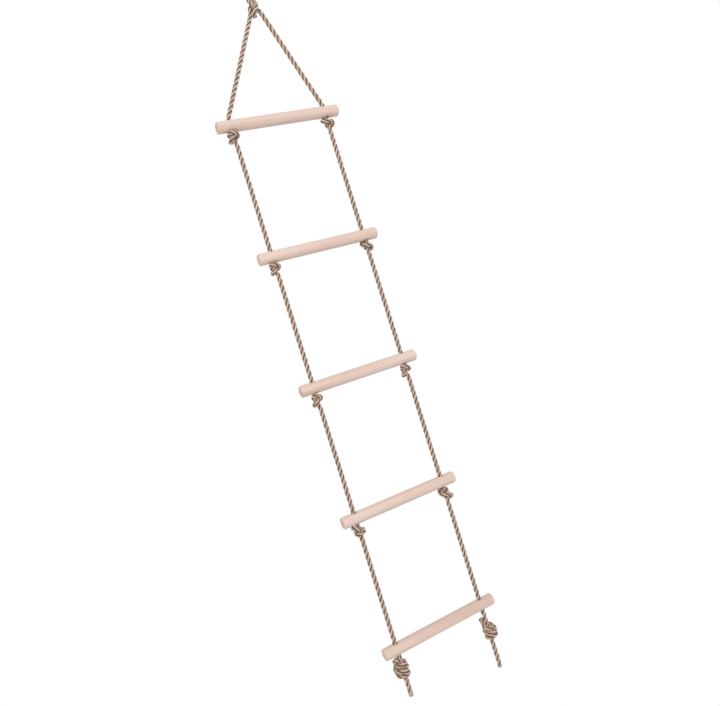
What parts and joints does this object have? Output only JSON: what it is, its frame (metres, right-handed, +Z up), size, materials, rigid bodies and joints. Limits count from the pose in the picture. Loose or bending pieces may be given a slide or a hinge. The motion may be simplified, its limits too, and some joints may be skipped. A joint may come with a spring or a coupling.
{
  "type": "rope ladder",
  "caption": "Hanging escape rope ladder: round wooden rungs resting on knots in two laid ropes, gathered over the first rung into one knot and hanging loop.",
  "frame": {"origin": "the point where a hook bears on the inside of the hanging loop's crown", "axes": "+Z up along the hanging ladder, +X along the rungs to the side with the longer tail, Y across the ladder, the way a climber faces it"},
  "size_m": [0.292, 0.038, 1.734],
  "materials": {
    "rope": "three-strand laid hemp, rough",
    "wood": "pale sanded hardwood, unvarnished"
  },
  "bodies": {
    "hanger": {"hanging_loop": "rope"},
    "head": {"top_knot": "rope"},
    "step_1": {"leg_left": "rope", "leg_right": "rope", "rung_1": "wood", "knot_left_1": "rope", "knot_right_1": "rope"},
    "step_2": {"rope_left_2": "rope", "rope_right_2": "rope", "knot_left_2": "rope", "knot_right_2": "rope"},
    "step_3": {"rope_left_3": "rope", "rope_right_3": "rope", "knot_left_3": "rope", "knot_right_3": "rope"},
    "step_4": {"rope_left_4": "rope", "rope_right_4": "rope", "knot_left_4": "rope", "knot_right_4": "rope"},
    "step_5": {"rope_left_5": "rope", "rope_right_5": "rope", "knot_left_5": "rope", "knot_right_5": "rope"},
    "rung_2": {"rung_2": "wood"},
    "rung_3": {"rung_3": "wood"},
    "rung_4": {"rung_4": "wood"},
    "rung_5": {"rung_5": "wood"},
    "tail_left": {"tail_left": "rope"},
    "tail_right": {"tail_right": "rope"}
  },
  "joints": [
    {"name": "side_swing", "type": "hinge", "parent": "hanger", "child": "head", "pos_m": [0, 0, -0.088], "axis": [0, 1, 0], "range_deg": [-30, 30]},
    {"name": "fore_aft_swing", "type": "hinge", "parent": "head", "child": "step_1", "pos_m": [0, 0, -0.119], "axis": [1, 0, 0], "range_deg": [-75, 75]},
    {"name": "fold_2", "type": "hinge", "parent": "step_1", "child": "step_2", "pos_m": [-0.018, 0, -0.42855], "axis": [-1, 0, 0], "range_deg": [-120, 120]},
    {"name": "fold_3", "type": "hinge", "parent": "step_2", "child": "step_3", "pos_m": [-0.018, 0, -0.72855], "axis": [1, 0, 0], "range_deg": [-120, 120]},
    {"name": "fold_4", "type": "hinge", "parent": "step_3", "child": "step_4", "pos_m": [-0.018, 0, -1.02855], "axis": [-1, 0, 0], "range_deg": [-120, 120]},
    {"name": "fold_5", "type": "hinge", "parent": "step_4", "child": "step_5", "pos_m": [-0.018, 0, -1.32855], "axis": [1, 0, 0], "range_deg": [-120, 120]},
    {"name": "rung_2_slide", "type": "slide", "parent": "step_2", "child": "rung_2", "axis": [0, 0, 1], "range_m": [0, 0.195]},
    {"name": "rung_3_slide", "type": "slide", "parent": "step_3", "child": "rung_3", "axis": [0, 0, 1], "range_m": [0, 0.195]},
    {"name": "rung_4_slide", "type": "slide", "parent": "step_4", "child": "rung_4", "axis": [0, 0, 1], "range_m": [0, 0.195]},
    {"name": "rung_5_slide", "type": "slide", "parent": "step_5", "child": "rung_5", "axis": [0, 0, 1], "range_m": [0, 0.195]},
    {"name": "tail_left_bend", "type": "hinge", "parent": "step_5", "child": "tail_left", "pos_m": [-0.132, 0, -1.64155], "axis": [1, 0, 0], "range_deg": [-80, 80]},
    {"name": "tail_right_bend", "type": "hinge", "parent": "step_5", "child": "tail_right", "pos_m": [0.096, 0, -1.662], "axis": [1, 0, 0], "range_deg": [-80, 80]}
  ]
}
